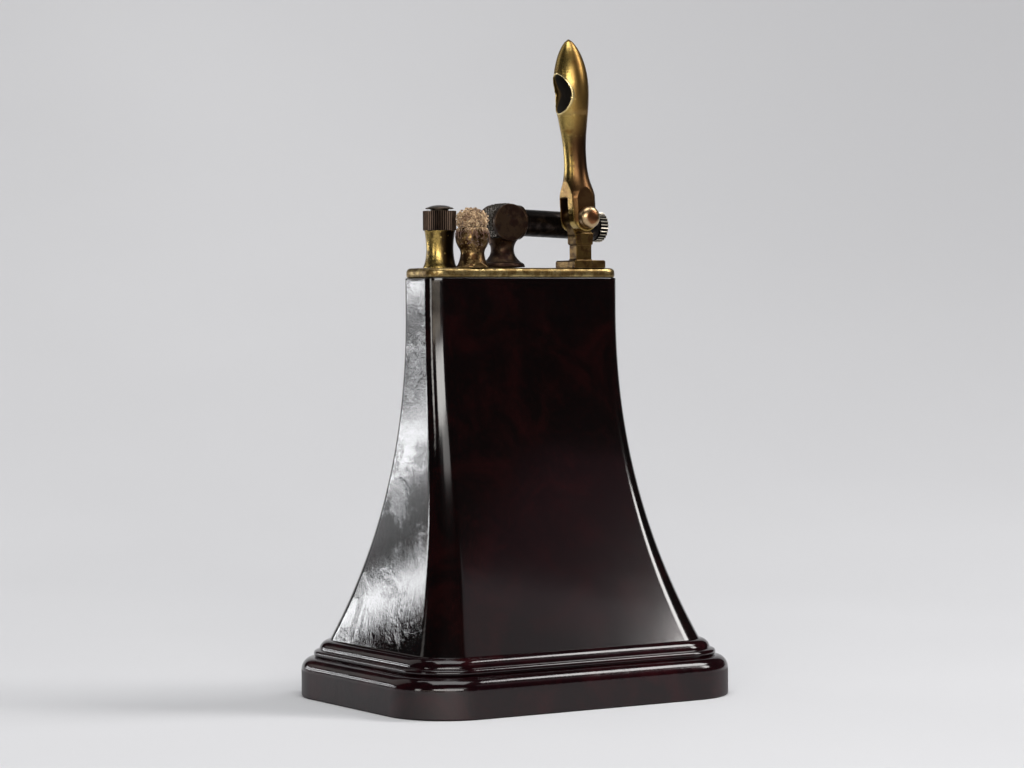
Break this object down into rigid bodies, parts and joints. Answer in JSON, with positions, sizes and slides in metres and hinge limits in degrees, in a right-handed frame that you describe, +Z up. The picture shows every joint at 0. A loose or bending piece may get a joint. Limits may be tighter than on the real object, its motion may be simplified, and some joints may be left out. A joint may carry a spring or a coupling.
{
  "type": "table lighter",
  "caption": "Lift-arm petrol table lighter: brass mechanism with burner, filler, striker wheel and flint tube on a tapered bakelite body with a stepped plinth.",
  "frame": {"origin": "centre of the plinth's underside", "axes": "+X along the wide front, +Y to the back, +Z up; the open arm stands at the +X end and closes towards -X"},
  "size_m": [0.07, 0.054, 0.1212],
  "materials": {
    "bakelite_body": "glossy, hazed with age",
    "bakelite_plinth": "glossy, worn edges",
    "cover_steel": "plain zinc-plated",
    "felt_green": "dense felt",
    "bolt_steel": "plain",
    "plate_brass": "worn, dull satin",
    "tank_brass": "dull",
    "wadding_cotton": "loose cotton",
    "filler_brass": "worn, darkened in the waist",
    "seal_leather": "oiled",
    "cap_brass": "blackened, worn on the knurl",
    "cap_screw_brass": "dark, satin",
    "burner_brass": "sooty, reddish",
    "wick_cotton": "frayed, scorched at the tip",
    "housing_brass": "tarnished, tan-brown",
    "wheel_steel": "hardened, sooty",
    "axle_steel": "plain",
    "tube_black": "blackened, rubbed",
    "flint_grey": "pressed flint",
    "plunger_brass": "plain",
    "spring_steel": "drawn wire",
    "knob_brass": "dark with bright teeth",
    "post_brass": "worn satin",
    "arm_brass": "worn satin, dark in the hollows",
    "pivot_screw_brass": "bright rim, brown centre",
    "washer_steel": "spring steel"
  },
  "bodies": {
    "base": {"body_shell": "bakelite_body", "base_plinth": "bakelite_plinth", "base_cover": "cover_steel", "felt_pad": "felt_green", "tie_bolt": "bolt_steel", "top_plate": "plate_brass", "fuel_tank": "tank_brass", "tank_wadding": "wadding_cotton", "filler_pillar": "filler_brass", "burner_pillar": "burner_brass", "wick": "wick_cotton", "wheel_housing": "housing_brass", "wheel_axle": "axle_steel", "flint_tube": "tube_black", "flint": "flint_grey", "pivot_post": "post_brass"},
    "arm": {"lift_arm": "arm_brass", "pivot_screw": "pivot_screw_brass", "spring_washer": "washer_steel"},
    "wheel": {"striker_wheel": "wheel_steel"},
    "seal": {"filler_seal": "seal_leather"},
    "cap": {"filler_cap": "cap_brass", "cap_screw": "cap_screw_brass"},
    "plunger": {"flint_plunger": "plunger_brass", "flint_spring": "spring_steel"},
    "flint_knob": {"flint_screw": "knob_brass"}
  },
  "joints": [
    {"name": "arm_pivot", "type": "hinge", "parent": "base", "child": "arm", "pos_m": [0.0127, -0.0032, 0.08815], "axis": [0, 1, 0], "range_deg": [-86.6, 8]},
    {"name": "wheel_spin", "type": "hinge", "parent": "base", "child": "wheel", "pos_m": [-0.00035, 0.00265, 0.0873], "axis": [0, 1, 0], "continuous": true},
    {"name": "filler_lift", "type": "slide", "parent": "base", "child": "seal", "axis": [0, 0, 1], "range_m": [0, 0.0024]},
    {"name": "filler_turn", "type": "hinge", "parent": "seal", "child": "cap", "pos_m": [-0.0134, 0.0033, 0.08575], "axis": [0, 0, 1], "range_deg": [0, 1441]},
    {"name": "flint_travel", "type": "slide", "parent": "base", "child": "plunger", "axis": [0.9993, 0, -0.0384], "range_m": [0, 0.0035]},
    {"name": "flint_turn", "type": "hinge", "parent": "plunger", "child": "flint_knob", "pos_m": [-0.00035, 0.00265, 0.0875], "axis": [0.9993, 0, -0.0384], "range_deg": [0, 2521]}
  ],
  "couplings": [
    {"joint": "filler_turn", "follows": "filler_lift", "rad_per_m": 10472},
    {"joint": "flint_turn", "follows": "flint_travel", "rad_per_m": 12566}
  ]
}
